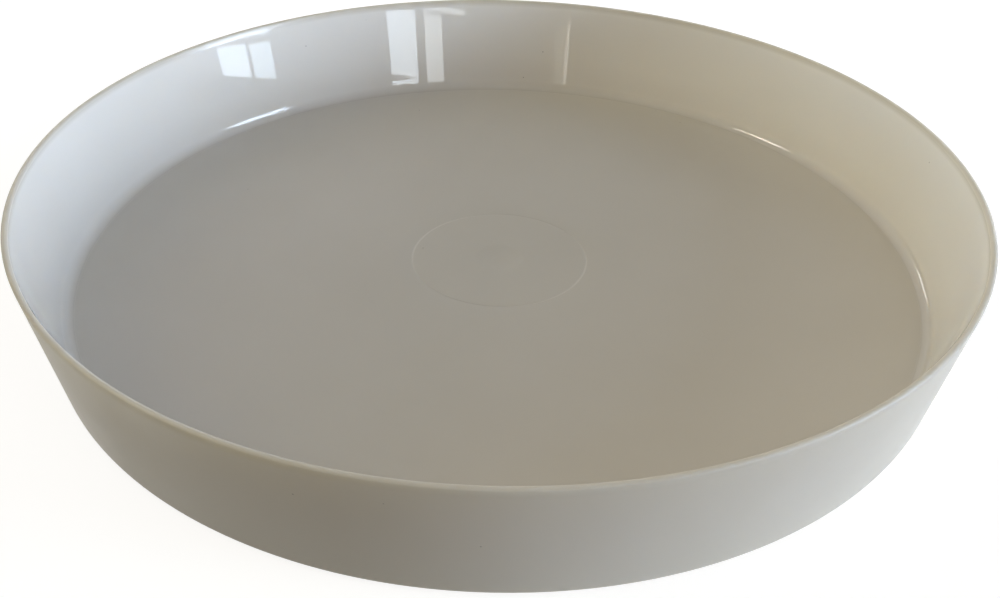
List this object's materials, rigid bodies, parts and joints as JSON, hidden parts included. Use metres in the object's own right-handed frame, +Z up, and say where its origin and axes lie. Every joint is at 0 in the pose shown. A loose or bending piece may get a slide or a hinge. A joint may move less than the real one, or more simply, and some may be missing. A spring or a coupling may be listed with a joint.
{
  "type": "plant saucer",
  "caption": "Round shallow plant saucer moulded in one piece, with an outward-leaning wall, a plain lip and a foot ring; it stands under a pot and catches its water.",
  "frame": {"origin": "on the dish's axis, at the ground under its foot ring", "axes": "+Z up along the dish's axis; it is round, so X and Y are free"},
  "size_m": [0.3, 0.3, 0.0415],
  "materials": {
    "off_white_plastic": "off-white moulded polypropylene: glossy inside the wall, satin on the floor and outside"
  },
  "bodies": {
    "root": {"saucer": "off_white_plastic"}
  },
  "joints": []
}
